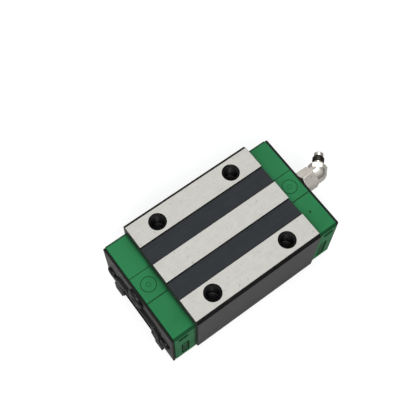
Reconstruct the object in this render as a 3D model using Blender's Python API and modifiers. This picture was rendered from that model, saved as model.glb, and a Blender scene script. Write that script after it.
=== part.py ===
"""Linear guide carriage: a square four-row recirculating-ball bearing block, size 25.

Frame: origin at the centre of the ground top mounting face, +Z out of that face,
+X along the rail towards the grease nipple, +Y across the rail.  Metres.
All the driving dimensions below are in millimetres and are scaled by MM.
"""
import math
import bpy
import bmesh
from mathutils import Matrix, Vector

MM = 0.001

# ---- steel block
BLOCK_LEN = 58.0          # length of the hardened steel body
BLOCK_W = 48.0            # overall width
BLOCK_BOTTOM = -33.2      # underside of the arms
HOLE_PITCH = 35.0         # mounting holes, 35 x 35
HOLE_R = 3.0              # M6 thread
HOLE_DEPTH = 8.0
CSINK_R = 3.5
GROOVE_IN, GROOVE_OUT, GROOVE_D = 4.4, 12.6, 0.8   # two relief grooves in the top face

# ---- rolling elements
BALL_R = 2.381            # 3/16 inch ball
ROW_Y = 11.6              # loaded rows
ROW_Z = (-19.2, -26.0)    # upper and lower loaded row
TURN_R = 3.4              # radius of the end turns
RETURN_DIR = (45.0, -15.0)  # direction from a loaded row to its return bore, degrees from +Y
PITCH = math.pi * TURN_R / 2     # ball pitch: two balls fill one end turn
ROW_BALLS = 11
TURN_X = ROW_BALLS * PITCH / 2   # where the straight rows meet the end turns
RACE_R = 2.55
BORE_R = 2.7
TURN_BORE_R = 2.65

# ---- end caps, guides and seals
CAP_IN, CAP_OUT = 29.1, 38.7
CAP_TOP, CAP_W, CAP_BOTTOM = -4.6, 22.9, -33.6
GUIDE_OUT = 30.3
PLATE_IN, PLATE_OUT = 38.8, 39.8
LIP_IN, LIP_OUT = 39.9, 41.1
SEAL_BOTTOM = -34.7
SCREW_YZ = (17.9, -21.0)
PORT_Z = -9.0

# ---- elbow grease nipple
NIPPLE_AF = 8.4           # hexagon across flats, one corner up
ELBOW_X = 48.3            # centre of the bend
HEAD_AF = 6.9             # hexagon at the foot of the head, flat side up
NIPPLE_BEND = 45.0        # degrees from +X towards +Y
SEAT = 1.0                # bend centre to the seat of the head

GAP = 0.1

for ob in list(bpy.data.objects):
    bpy.data.objects.remove(ob, do_unlink=True)


def collection(name):
    c = bpy.data.collections.new(name)
    bpy.context.scene.collection.children.link(c)
    return c


PARTS = collection("linear_guide_carriage")
CUTTERS = collection("cutters")


# ------------------------------------------------------------------ materials
def material(name, rgb, rough, metal):
    m = bpy.data.materials.new(name)
    m.use_nodes = True
    b = m.node_tree.nodes["Principled BSDF"]
    b.inputs["Base Color"].default_value = (*rgb, 1.0)
    b.inputs["Roughness"].default_value = rough
    b.inputs["Metallic"].default_value = metal
    return m


STEEL = material("ground_steel", (0.60, 0.58, 0.56), 0.32, 1.0)
GREEN = material("green_plastic", (0.03, 0.22, 0.075), 0.42, 0.0)
GUIDE = material("guide_plastic", (0.035, 0.035, 0.04), 0.5, 0.0)
RUBBER = material("seal_rubber", (0.03, 0.03, 0.03), 0.65, 0.0)
BLACK_STEEL = material("black_steel", (0.05, 0.05, 0.055), 0.42, 0.8)
SHEET = material("retainer_sheet", (0.45, 0.45, 0.46), 0.35, 1.0)
BALL = material("ball_steel", (0.72, 0.72, 0.73), 0.12, 1.0)
NICKEL = material("nickel_plate", (0.66, 0.62, 0.57), 0.22, 1.0)
SPRING = material("spring_steel", (0.5, 0.5, 0.52), 0.3, 1.0)


# ------------------------------------------------------------------ builders
def place(ob, coll, mat=None):
    coll.objects.link(ob)
    if coll is CUTTERS:
        ob.hide_render = True
        ob.display_type = "WIRE"
    if mat is not None:
        ob.data.materials.clear()
        ob.data.materials.append(mat)
    return ob


def frame_matrix(pos, zdir, xdir=None):
    """Matrix in metres whose local Z is zdir and whose origin is pos (mm)."""
    z = Vector(zdir).normalized()
    x = Vector(xdir) if xdir is not None else (Vector((0, 0, 1)) if abs(z.z) < 0.9 else Vector((1, 0, 0)))
    x = (x - x.dot(z) * z).normalized()
    y = z.cross(x)
    m = Matrix((x, y, z)).transposed().to_4x4()
    m.translation = Vector(pos) * MM
    return m


def as_mesh(ob):
    """Turn a curve object into a welded mesh object in the same place."""
    bpy.context.view_layer.update()
    dg = bpy.context.evaluated_depsgraph_get()
    me = bpy.data.meshes.new_from_object(ob.evaluated_get(dg))
    bm = bmesh.new()
    bm.from_mesh(me)
    bmesh.ops.remove_doubles(bm, verts=bm.verts, dist=1e-6)
    bmesh.ops.recalc_face_normals(bm, faces=bm.faces)
    bm.to_mesh(me)
    bm.free()
    name, world, coll = ob.name, ob.matrix_world.copy(), ob.users_collection[0]
    mats = [s.material for s in ob.material_slots]
    bpy.data.objects.remove(ob, do_unlink=True)
    me.name = name
    out = bpy.data.objects.new(name, me)
    out.matrix_world = world
    place(out, coll, mats[0] if mats else None)
    return out


def outline(name, pts, x0, x1, coll, mat=None):
    """A closed outline of (y, z) points, extruded along X from x0 to x1."""
    cu = bpy.data.curves.new(name, "CURVE")
    cu.dimensions = "2D"
    cu.fill_mode = "BOTH"
    cu.extrude = abs(x1 - x0) / 2 * MM
    sp = cu.splines.new("POLY")
    sp.points.add(len(pts) - 1)
    for p, (y, z) in zip(sp.points, pts):
        p.co = (y * MM, z * MM, 0.0, 1.0)
    sp.use_cyclic_u = True
    ob = bpy.data.objects.new(name, cu)
    ob.matrix_world = Matrix(((0, 0, 1, (x0 + x1) / 2 * MM), (1, 0, 0, 0), (0, 1, 0, 0), (0, 0, 0, 1)))
    place(ob, coll, mat)
    return as_mesh(ob)


def box(name, lo, hi, coll, mat=None, rot=None):
    me = bpy.data.meshes.new(name)
    bm = bmesh.new()
    bmesh.ops.create_cube(bm, size=1.0)
    for v in bm.verts:
        v.co = Vector([v.co[i] * (hi[i] - lo[i]) * MM for i in range(3)])
    bm.to_mesh(me)
    bm.free()
    ob = bpy.data.objects.new(name, me)
    ob.location = [(lo[i] + hi[i]) / 2 * MM for i in range(3)]
    if rot is not None:
        ob.rotation_euler = rot
    return place(ob, coll, mat)


def rod(name, r, p0, p1, seg, coll, mat=None, r2=None, spin=0.0):
    """A cylinder (or cone) of seg sides from p0 to p1 (mm)."""
    a, b = Vector(p0), Vector(p1)
    me = bpy.data.meshes.new(name)
    bm = bmesh.new()
    bmesh.ops.create_cone(bm, cap_ends=True, segments=seg, radius1=r * MM,
                          radius2=(r if r2 is None else r2) * MM, depth=(b - a).length * MM)
    bmesh.ops.rotate(bm, verts=bm.verts, cent=(0, 0, 0), matrix=Matrix.Rotation(math.radians(spin), 3, "Z"))
    bm.to_mesh(me)
    bm.free()
    ob = bpy.data.objects.new(name, me)
    ob.matrix_world = frame_matrix((a + b) / 2, b - a)
    return place(ob, coll, mat)


def turned(name, profile, steps, matrix, coll, mat=None, closed=False):
    """A turned piece: (radius, height) profile in mm spun round local Z."""
    me = bpy.data.meshes.new(name)
    n = len(profile)
    edges = [(i, i + 1) for i in range(n - 1)] + ([(n - 1, 0)] if closed else [])
    me.from_pydata([(r * MM, 0.0, h * MM) for r, h in profile], edges, [])
    ob = bpy.data.objects.new(name, me)
    ob.matrix_world = matrix
    s = ob.modifiers.new("turn", "SCREW")
    s.axis = "Z"
    s.angle = 2 * math.pi
    s.steps = s.render_steps = steps
    s.use_merge_vertices = True
    s.merge_threshold = 0.00001
    s.use_smooth_shade = True
    return place(ob, coll, mat)


def ball(name, r, pos, seg, rings, coll, mat=None):
    me = bpy.data.meshes.new(name)
    bm = bmesh.new()
    bmesh.ops.create_uvsphere(bm, u_segments=seg, v_segments=rings, radius=r * MM)
    bm.to_mesh(me)
    bm.free()
    me.shade_smooth()
    ob = bpy.data.objects.new(name, me)
    ob.location = Vector(pos) * MM
    return place(ob, coll, mat)


def boolean(ob, other, op="DIFFERENCE"):
    m = ob.modifiers.new(op.lower(), "BOOLEAN")
    m.operation = op
    m.solver = "EXACT"
    m.object = other
    return ob


def mirrored(pts):
    """Close a right-hand (y > 0) run of points with its mirror image."""
    return pts + [(-y, z) for y, z in reversed(pts)]


def arc(cy, cz, r, a0, a1, n):
    return [(cy + r * math.cos(math.radians(a0 + (a1 - a0) * i / n)),
             cz + r * math.sin(math.radians(a0 + (a1 - a0) * i / n))) for i in range(n + 1)]


# ------------------------------------------------------------------ steel block
def block_section():
    half = BLOCK_W / 2
    zu, zl = ROW_Z
    ceiling, wall, arm = -16.8, 13.2, 12.3
    a_top = math.degrees(math.asin((ceiling - zu) / RACE_R))       # where the upper race meets the ceiling
    a_wall = math.degrees(math.acos((wall - ROW_Y) / RACE_R))
    a_arm = math.degrees(math.acos((arm - ROW_Y) / RACE_R))
    outer = [(GROOVE_IN, 0.0), (GROOVE_IN + 0.15, -GROOVE_D), (GROOVE_OUT - 0.15, -GROOVE_D),
             (GROOVE_OUT, 0.0), (half - 1.3, 0.0), (half, -1.2), (half, -31.0), (half - 2.0, BLOCK_BOTTOM),
             (arm, BLOCK_BOTTOM)]
    inner = (arc(ROW_Y, zl, RACE_R, -a_arm, a_wall, 6)
             + arc(ROW_Y, zu, RACE_R, -a_wall, 180.0 - a_top, 8))
    return mirrored(outer + inner)


def row_return(row):
    """(y, z) of the return bore that belongs to a loaded row, for the +Y side."""
    a = math.radians(RETURN_DIR[row])
    return ROW_Y + 2 * TURN_R * math.cos(a), ROW_Z[row] + 2 * TURN_R * math.sin(a)


block = outline("steel_block", block_section(), -BLOCK_LEN / 2, BLOCK_LEN / 2, PARTS, STEEL)
for sy in (1, -1):
    for row in (0, 1):
        ry, rz = row_return(row)
        boolean(block, rod(f"cut_return_{row}_{sy}", BORE_R, (-31, sy * ry, rz), (31, sy * ry, rz), 12, CUTTERS, spin=15))
    for sx in (1, -1):
        boolean(block, rod(f"cut_end_screw_{sy}_{sx}", 1.6, (sx * 21.5, sy * SCREW_YZ[0], SCREW_YZ[1]),
                           (sx * 31, sy * SCREW_YZ[0], SCREW_YZ[1]), 10, CUTTERS))
        boolean(block, turned(f"cut_m6_{sy}_{sx}",
                              [(0, 1.0), (CSINK_R + 1.0, 1.0), (HOLE_R, HOLE_R - CSINK_R), (HOLE_R, -HOLE_DEPTH),
                               (0, -HOLE_DEPTH - HOLE_R * math.tan(math.radians(30)))], 16,
                              Matrix.Translation(Vector((sx * HOLE_PITCH / 2, sy * HOLE_PITCH / 2, 0)) * MM), CUTTERS))


# ------------------------------------------------------------------ retainers and bottom seals
def pair(name, pts, x0, x1, mat):
    outline(name + "_left", pts, x0, x1, PARTS, mat)
    outline(name + "_right", [(-y, z) for y, z in reversed(pts)], x0, x1, PARTS, mat)


outline("top_ball_retainer", [(-9.65, -17.55), (9.65, -17.55), (9.65, -16.95), (-9.65, -16.95)], -28.95, 28.95, PARTS, SHEET)
pair("side_ball_retainer", [(11.75, -21.75), (11.75, -23.45), (13.1, -23.8), (13.1, -21.4)], -28.95, 28.95, GUIDE)
pair("lower_ball_retainer", [(9.75, -27.65), (10.0, -28.75), (12.2, -29.3), (12.2, -28.62), (11.0, -28.62), (10.3, -28.3)],
     -28.95, 28.95, SHEET)
pair("bottom_seal", [(11.65, -34.3), (12.1, -34.6), (12.9, -34.2), (21.6, -34.2), (21.6, -33.3), (12.6, -33.3)],
     -28.9, 28.9, RUBBER)


# ------------------------------------------------------------------ end caps, guides, seals
def rail_gap(grow, bottom):
    """Right-hand run, bottom to top, of the inner edge that clears the rail."""
    return [(11.95 + grow, bottom), (11.95 + grow, -30.9 - 0.4 * grow), (9.75 + grow, -28.4 - 0.6 * grow),
            (9.75 + grow, -26.2 - 0.5 * grow), (10.6 + grow, -24.9 - 0.3 * grow), (11.95 + grow, -23.9),
            (11.95 + grow, -21.3), (10.6 + grow, -20.3 + 0.3 * grow), (9.75 + grow, -19.0 + 0.5 * grow),
            (9.75 + grow, -17.7 + grow)]


def shell_section(outer, grow, bottom):
    """outer: right-hand run from the top down to the bottom; then up the rail gap."""
    return mirrored(outer + rail_gap(grow, bottom))


def turn_matrix(row, sy, sx):
    """Frame of an end turn: local Z is the turn's axis, local X points to the return bore."""
    a = math.radians(RETURN_DIR[row])
    d = Vector((0, sy * math.cos(a), math.sin(a)))
    ry, rz = row_return(row)
    mid = Vector((sx * TURN_X, sy * (ROW_Y + ry) / 2, (ROW_Z[row] + rz) / 2))
    return frame_matrix(mid, Vector((1, 0, 0)).cross(d), d), mid, d


def turn_cutter(tag, row, sy, sx):
    bpy.ops.mesh.primitive_torus_add(major_radius=TURN_R * MM, minor_radius=TURN_BORE_R * MM,
                                     major_segments=18, minor_segments=10)
    ob = bpy.context.object
    for c in list(ob.users_collection):
        c.objects.unlink(ob)
    ob.name = tag
    ob.matrix_world = turn_matrix(row, sy, sx)[0]
    return place(ob, CUTTERS)


for sx, end in ((1, "front"), (-1, "rear")):
    cap = outline(f"end_cap_{end}",
                  shell_section([(CAP_W - 1.0, CAP_TOP), (CAP_W, CAP_TOP - 1.1), (CAP_W, -32.4),
                                 (CAP_W - 1.2, CAP_BOTTOM)], 0.0, CAP_BOTTOM),
                  sx * CAP_IN, sx * CAP_OUT, PARTS, GREEN)
    guide = outline(f"return_guide_{end}",
                    shell_section([(19.5, -10.8), (21.5, -12.8), (21.5, -31.3)], 0.0, -31.3),
                    sx * CAP_IN, sx * GUIDE_OUT, PARTS, GUIDE)
    lo, hi = sorted((sx * 28.5, sx * (GUIDE_OUT + GAP)))
    boolean(cap, box(f"cut_pocket_{end}", (lo, -21.6, -31.4), (hi, 21.6, -10.7), CUTTERS))
    lo2, hi2 = sorted((sx * 28.4, sx * 30.2))
    boolean(cap, box(f"cut_oil_groove_{end}", (lo2, -12.0, -11.2), (hi2, 12.0, -9.1), CUTTERS))
    boolean(cap, rod(f"cut_oil_{end}", 1.2, (sx * 28, 0, PORT_Z), (sx * 34, 0, PORT_Z), 8, CUTTERS))
    boolean(cap, rod(f"cut_port_{end}", 2.7, (sx * 33, 0, PORT_Z), (sx * 40, 0, PORT_Z), 12, CUTTERS))
    for sy in (1, -1):
        for row in (0, 1):
            tc = turn_cutter(f"cut_turn_{end}_{row}_{sy}", row, sy, sx)
            boolean(cap, tc)
            boolean(guide, tc)
        hole = rod(f"cut_cap_screw_{end}_{sy}", 1.75, (sx * 28, sy * SCREW_YZ[0], SCREW_YZ[1]),
                   (sx * 40.5, sy * SCREW_YZ[0], SCREW_YZ[1]), 10, CUTTERS)
        boolean(cap, hole)
        boolean(guide, hole)
        sl, sh = sorted((sy * 21.9, sy * 24))
        xl, xh = sorted((sx * 32.6, sx * 37.0))
        boolean(cap, box(f"cut_side_slot_{end}_{sy}", (xl, sl, -9.9), (xh, sh, -7.7), CUTTERS))
        sl, sh = sorted((sy * 22.1, sy * 24))
        xl, xh = sorted((sx * 32.3, sx * 35.9))
        boolean(cap, box(f"cut_side_recess_{end}_{sy}", (xl, sl, -30.1), (xh, sh, -16.4), CUTTERS))

    plate = outline(f"end_seal_plate_{end}",
                    shell_section([(22.0, -4.95), (22.5, -5.4), (22.5, SEAL_BOTTOM)], 0.5, SEAL_BOTTOM),
                    sx * PLATE_IN, sx * PLATE_OUT, PARTS, BLACK_STEEL)
    boolean(plate, rod(f"cut_plate_port_{end}", 3.1, (sx * 38, 0, PORT_Z), (sx * 41, 0, PORT_Z), 12, CUTTERS))
    for sy in (1, -1):
        boolean(plate, rod(f"cut_plate_screw_{end}_{sy}", 1.75, (sx * 38, sy * SCREW_YZ[0], SCREW_YZ[1]),
                           (sx * 41, sy * SCREW_YZ[0], SCREW_YZ[1]), 10, CUTTERS))

    lip_in = [(11.6, SEAL_BOTTOM), (11.6, -31.0), (9.3, -28.2), (9.3, -26.1), (10.05, -24.45), (11.6, -23.7),
              (11.6, -21.5), (10.05, -20.75), (9.35, -19.0), (9.55, -17.9)]
    lip_out = [(11.5, -14.7), (14.6, -18.0), (14.6, -25.0), (16.3, -27.6), (16.3, SEAL_BOTTOM)]
    outline(f"end_seal_lip_{end}", mirrored(lip_out + lip_in),
            sx * LIP_IN, sx * LIP_OUT, PARTS, RUBBER)

    # cross-recess screws that hold the seal and the cap to the block
    for sy, side in ((1, "left"), (-1, "right")):
        y, z = sy * SCREW_YZ[0], SCREW_YZ[1]
        scr = turned(f"end_screw_{end}_{side}",
                     [(0, 41.2), (1.9, 41.1), (2.7, 40.6), (2.7, 39.9), (1.4, 39.9), (1.4, 22.8), (0.9, 22.3), (0, 22.3)], 12,
                     frame_matrix((0, y, z), (sx, 0, 0)), PARTS, BLACK_STEEL)
        for k in (0, 1):
            w = (0.35, 1.5) if k == 0 else (1.5, 0.35)
            bl, bh = sorted((sx * 40.5, sx * 42))
            boolean(scr, box(f"cut_cross_{end}_{side}_{k}", (bl, y - w[0], z - w[1]), (bh, y + w[0], z + w[1]), CUTTERS))

# ------------------------------------------------------------------ plug in the rear port
plug = turned("port_plug", [(0, 41.4), (3.4, 41.4), (4.2, 40.9), (4.2, 39.95), (2.45, 39.95), (2.45, 34.6), (1.8, 34.0), (0, 34.0)],
              16, frame_matrix((0, 0, PORT_Z), (-1, 0, 0)), PARTS, BLACK_STEEL)
boolean(plug, rod("cut_plug_hex", 1.73, (-40.2, 0, PORT_Z), (-43, 0, PORT_Z), 6, CUTTERS))

# ------------------------------------------------------------------ grease nipple in the front port
NIP = Vector((math.cos(math.radians(NIPPLE_BEND)), math.sin(math.radians(NIPPLE_BEND)), 0))
ELBOW = Vector((ELBOW_X, 0, PORT_Z))
body = rod("nipple_body", NIPPLE_AF / 2 / math.cos(math.radians(30)), (39.95, 0, PORT_Z), (45.6, 0, PORT_Z), 6,
           PARTS, NICKEL, spin=30)
boolean(body, rod("add_nipple_barrel", 3.95, (44.9, 0, PORT_Z), ELBOW, 16, CUTTERS, spin=4), "UNION")
boolean(body, ball("add_nipple_bend", 4.0, ELBOW, 18, 11, CUTTERS), "UNION")
boolean(body, rod("add_nipple_shank", 2.45, (34.0, 0, PORT_Z), (41.0, 0, PORT_Z), 12, CUTTERS), "UNION")
boolean(body, rod("add_nipple_arm", 3.9, ELBOW - NIP * 0.3, ELBOW + NIP * 4.0, 16, CUTTERS, spin=9), "UNION")
seat = box("cut_nipple_seat", (-8, -8, 0), (8, 8, 9), CUTTERS)
seat.matrix_world = frame_matrix(ELBOW + NIP * (SEAT + 4.5), NIP)
boolean(body, seat)
boolean(body, rod("cut_nipple_bore", 1.15, (33.0, 0, PORT_Z), (ELBOW_X + 0.4, 0, PORT_Z), 10, CUTTERS, spin=11))
boolean(body, rod("cut_nipple_arm_bore", 1.15, ELBOW - NIP * 0.3, ELBOW + NIP * (SEAT + 1), 10, CUTTERS, spin=7))

HEAD0 = ELBOW + NIP * (SEAT + GAP)       # seat of the pressed-in head
head = turned("nipple_head",
              [(0, 7.9), (1.75, 7.9), (1.95, 7.7), (1.95, 6.3), (1.6, 6.05), (1.6, 5.85), (2.45, 5.65), (2.45, 4.0),
               (1.95, 3.6), (1.95, 2.9), (2.5, 2.2), (2.9, 1.7), (0, 1.7)], 14, frame_matrix(HEAD0, NIP), PARTS, NICKEL)
boolean(head, rod("add_head_hex", HEAD_AF / 2 / math.cos(math.radians(30)), HEAD0, HEAD0 + NIP * 2.1, 6, CUTTERS, spin=-8), "UNION")
boolean(head, turned("cut_head_bore", [(0, 8.4), (0.85, 8.4), (0.85, 7.5), (1.3, 6.9), (1.3, -0.5), (0, -0.5)], 14,
                     frame_matrix(HEAD0, NIP), CUTTERS))
ball("nipple_check_ball", 1.0, HEAD0 + NIP * 6.8, 10, 6, PARTS, BALL)


def coil(name, r, wire, z0, z1, turns, per, matrix, mat):
    cu = bpy.data.curves.new(name, "CURVE")
    cu.dimensions = "3D"
    cu.bevel_depth = wire * MM
    cu.bevel_resolution = 0
    cu.use_fill_caps = True
    n = turns * per
    sp = cu.splines.new("POLY")
    sp.points.add(n)
    for i, p in enumerate(sp.points):
        a = 2 * math.pi * i / per
        p.co = (r * math.cos(a) * MM, r * math.sin(a) * MM, (z0 + (z1 - z0) * i / n) * MM, 1.0)
    ob = bpy.data.objects.new(name, cu)
    ob.matrix_world = matrix
    place(ob, PARTS, mat)
    return as_mesh(ob)


coil("nipple_spring", 0.85, 0.14, 0.3, 5.6, 7, 8, frame_matrix(HEAD0, NIP), SPRING)


# ------------------------------------------------------------------ balls
def string_profile(n):
    """Turned profile of n balls at the pitch, joined by thin necks, centred on 0."""
    pts = [(0.0, (n - 1) / 2 * PITCH + BALL_R)]
    for i in range(n):
        c = ((n - 1) / 2 - i) * PITCH
        for a in (50, 90, 130):
            pts.append((BALL_R * math.sin(math.radians(a)), c + BALL_R * math.cos(math.radians(a))))
        if i < n - 1:
            pts.append((0.45, c - PITCH / 2))
    pts.append((0.0, -(n - 1) / 2 * PITCH - BALL_R))
    return pts


def row_string(name, y, z):
    turned(name, string_profile(ROW_BALLS), 8, frame_matrix((0, y, z), (1, 0, 0)), PARTS, BALL)


def turn_pair(name, row, sy, sx):
    """Two balls at 45 and 135 degrees round an end turn; the origin is on the turn's axis."""
    m, mid, d = turn_matrix(row, sy, sx)
    pos = [mid + Vector((sx * TURN_R * math.sin(t), 0, 0)) - d * TURN_R * math.cos(t)
           for t in (math.pi / 4, 3 * math.pi / 4)]
    inv = m.inverted()
    ob = ball(name, BALL_R, (0, 0, 0), 8, 6, PARTS, BALL)
    ob.data.transform(Matrix.Translation(inv @ (pos[0] * MM)))
    ob.matrix_world = m
    other = ball("add_" + name, BALL_R, pos[1], 8, 6, CUTTERS)
    boolean(ob, other, "UNION")
    boolean(ob, rod("add_neck_" + name, 0.45, pos[0] + (pos[1] - pos[0]) * 0.3, pos[0] + (pos[1] - pos[0]) * 0.7, 5, CUTTERS), "UNION")
    return ob


for sy, side in ((1, "left"), (-1, "right")):
    for row, level in ((0, "upper"), (1, "lower")):
        ry, rz = row_return(row)
        row_string(f"load_balls_{level}_{side}", sy * ROW_Y, ROW_Z[row])
        row_string(f"return_balls_{level}_{side}", sy * ry, rz)
        for sx, end in ((1, "front"), (-1, "rear")):
            turn_pair(f"turn_balls_{level}_{side}_{end}", row, sy, sx)
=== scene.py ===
import math
import bpy
import bmesh
from mathutils import Matrix, Vector


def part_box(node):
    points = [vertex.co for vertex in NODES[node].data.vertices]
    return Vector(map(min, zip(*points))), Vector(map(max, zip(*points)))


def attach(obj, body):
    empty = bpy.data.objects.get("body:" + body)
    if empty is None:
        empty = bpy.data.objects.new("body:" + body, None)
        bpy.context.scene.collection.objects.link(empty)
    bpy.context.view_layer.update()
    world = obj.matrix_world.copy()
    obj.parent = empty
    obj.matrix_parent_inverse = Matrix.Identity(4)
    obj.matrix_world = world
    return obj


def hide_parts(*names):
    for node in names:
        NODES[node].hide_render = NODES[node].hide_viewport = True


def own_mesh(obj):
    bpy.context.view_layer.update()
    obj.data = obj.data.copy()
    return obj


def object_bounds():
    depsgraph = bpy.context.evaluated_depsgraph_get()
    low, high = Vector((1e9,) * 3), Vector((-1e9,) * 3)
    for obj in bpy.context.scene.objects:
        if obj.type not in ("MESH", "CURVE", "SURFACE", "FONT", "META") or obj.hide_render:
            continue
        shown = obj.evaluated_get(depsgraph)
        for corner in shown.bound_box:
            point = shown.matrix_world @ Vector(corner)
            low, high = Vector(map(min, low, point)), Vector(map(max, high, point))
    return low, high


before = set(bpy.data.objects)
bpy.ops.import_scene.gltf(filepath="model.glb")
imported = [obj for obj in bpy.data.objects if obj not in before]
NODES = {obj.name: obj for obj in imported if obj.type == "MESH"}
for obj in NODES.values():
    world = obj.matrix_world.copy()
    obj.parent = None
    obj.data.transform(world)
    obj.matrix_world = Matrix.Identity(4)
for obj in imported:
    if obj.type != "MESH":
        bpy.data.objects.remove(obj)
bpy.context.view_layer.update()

MM = 0.001

# sizes of the carriage, the same as the CAD's (mm)
BALL_R, ROW_Y, ROW_Z = 2.381, 11.6, (-19.2, -26.0)
TURN_R, RETURN_DIR = 3.4, (45.0, -15.0)
PITCH = math.pi * TURN_R / 2
TURN_X = 11 * PITCH / 2
PORT_Z = -9.0
SCREW_YZ = (17.9, -21.0)
CAP_IN, CAP_OUT, CAP_TOP, CAP_W, CAP_BOTTOM = 29.1, 38.7, -4.6, 22.9, -33.6
SEAL_BOTTOM = -34.7
SIDES = ((1, "left"), (-1, "right"))
ENDS = ((1, "front"), (-1, "rear"))


# ================================================================ materials
class Nodes:
    """Small helper round a material's node tree."""

    def __init__(self, name):
        self.mat = bpy.data.materials.new(name)
        self.mat.use_nodes = True
        self.t = self.mat.node_tree
        self.b = self.t.nodes["Principled BSDF"]
        self.co = self.t.nodes.new("ShaderNodeTexCoord").outputs["Object"]

    def mapped(self, scale, rot=(0, 0, 0), loc=(0, 0, 0)):
        n = self.t.nodes.new("ShaderNodeMapping")
        n.inputs["Scale"].default_value = scale
        n.inputs["Rotation"].default_value = rot
        n.inputs["Location"].default_value = loc
        self.t.links.new(self.co, n.inputs["Vector"])
        return n.outputs["Vector"]

    def noise(self, scale, detail=4.0, rough=0.55, rot=(0, 0, 0), distortion=0.0, loc=(0, 0, 0)):
        n = self.t.nodes.new("ShaderNodeTexNoise")
        n.inputs["Scale"].default_value = 1.0
        n.inputs["Detail"].default_value = detail
        n.inputs["Roughness"].default_value = rough
        n.inputs["Distortion"].default_value = distortion
        s = scale if isinstance(scale, tuple) else (scale,) * 3
        self.t.links.new(self.mapped(s, rot, loc), n.inputs["Vector"])
        return n.outputs["Fac"]

    def voronoi(self, scale, feature="F1"):
        n = self.t.nodes.new("ShaderNodeTexVoronoi")
        n.feature = feature
        n.inputs["Scale"].default_value = 1.0
        s = scale if isinstance(scale, tuple) else (scale,) * 3
        self.t.links.new(self.mapped(s), n.inputs["Vector"])
        return n.outputs["Distance"]

    def ramp(self, fac, stops):
        n = self.t.nodes.new("ShaderNodeValToRGB")
        e = n.color_ramp.elements
        while len(e) < len(stops):
            e.new(0.5)
        for el, (p, c) in zip(e, stops):
            el.position = p
            el.color = (*c, 1.0) if isinstance(c, tuple) else (c, c, c, 1.0)
        self.t.links.new(fac, n.inputs["Fac"])
        return n.outputs["Color"]

    def mix(self, fac, a, b, mode="MIX"):
        n = self.t.nodes.new("ShaderNodeMix")
        n.data_type = "RGBA"
        n.blend_type = mode
        for sock, val in ((n.inputs[0], fac), (n.inputs[6], a), (n.inputs[7], b)):
            if isinstance(val, bpy.types.NodeSocket):
                self.t.links.new(val, sock)
            elif isinstance(val, tuple):
                sock.default_value = (*val, 1.0)
            else:
                sock.default_value = val
        return n.outputs[2]

    def math(self, op, a, b=0.0):
        n = self.t.nodes.new("ShaderNodeMath")
        n.operation = op
        for sock, val in ((n.inputs[0], a), (n.inputs[1], b)):
            if isinstance(val, bpy.types.NodeSocket):
                self.t.links.new(val, sock)
            else:
                sock.default_value = val
        return n.outputs[0]

    def axis(self, k):
        n = self.t.nodes.new("ShaderNodeSeparateXYZ")
        self.t.links.new(self.co, n.inputs[0])
        return n.outputs[k]

    def span(self, value, a, b):
        """0 at a, 1 at b (metres), clamped."""
        n = self.t.nodes.new("ShaderNodeMapRange")
        n.interpolation_type = "SMOOTHSTEP"
        n.inputs["From Min"].default_value = a
        n.inputs["From Max"].default_value = b
        self.t.links.new(value, n.inputs["Value"])
        return n.outputs["Result"]

    def height(self, z0, z1):
        return self.span(self.axis(2), z0 * MM, z1 * MM)

    def base(self, color):
        self.t.links.new(color, self.b.inputs["Base Color"])

    def rough(self, fac, lo, hi):
        n = self.t.nodes.new("ShaderNodeMapRange")
        n.inputs["From Min"].default_value = 0.3
        n.inputs["From Max"].default_value = 0.7
        n.inputs["To Min"].default_value = lo
        n.inputs["To Max"].default_value = hi
        self.t.links.new(fac, n.inputs["Value"])
        self.t.links.new(n.outputs["Result"], self.b.inputs["Roughness"])

    def bump(self, height, strength, dist):
        n = self.t.nodes.new("ShaderNodeBump")
        n.inputs["Strength"].default_value = strength
        n.inputs["Distance"].default_value = dist * MM
        self.t.links.new(height, n.inputs["Height"])
        old = self.b.inputs["Normal"].links
        if old:
            self.t.links.new(old[0].from_socket, n.inputs["Normal"])
        self.t.links.new(n.outputs["Normal"], self.b.inputs["Normal"])

    def set(self, **kw):
        for k, val in kw.items():
            self.b.inputs[k.replace("_", " ")].default_value = val
        return self


def metal(name, dark, light, lo, hi, grain, blotch=120.0, metallic=1.0, bump=0.02, rot=(0, 0, 0), specks=None, specular=0.5,
          stain=None):
    """Worked metal: fine grain lines along one axis, soft blotches, a few specks."""
    m = Nodes(name)
    lines = m.noise(grain, 3.0, 0.6, rot)
    blot = m.noise(blotch, 5.0, 0.6)
    f = m.math("ADD", m.math("MULTIPLY", lines, 0.55), m.math("MULTIPLY", blot, 0.45))
    col = m.ramp(f, [(0.34, dark), (0.66, light)])
    if specks:
        sp = m.noise(specks[0], 2.0, 0.5)
        col = m.mix(m.ramp(sp, [(specks[1], 0.0), (specks[1] + 0.06, 1.0)]), col, specks[2])
    if stain:
        z0, z1, tint = stain
        low = m.height(z0, z1)
        st = m.noise((240, 240, 420), 5.0, 0.65, distortion=0.8)
        col = m.mix(m.math("MULTIPLY", low, m.ramp(st, [(0.44, 0.0), (0.66, 0.6)])), col, tint)
    m.base(col)
    m.rough(f, lo, hi)
    m.bump(lines, 0.5, bump)
    m.set(Metallic=metallic, Specular_IOR_Level=specular)
    return m.mat


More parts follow.
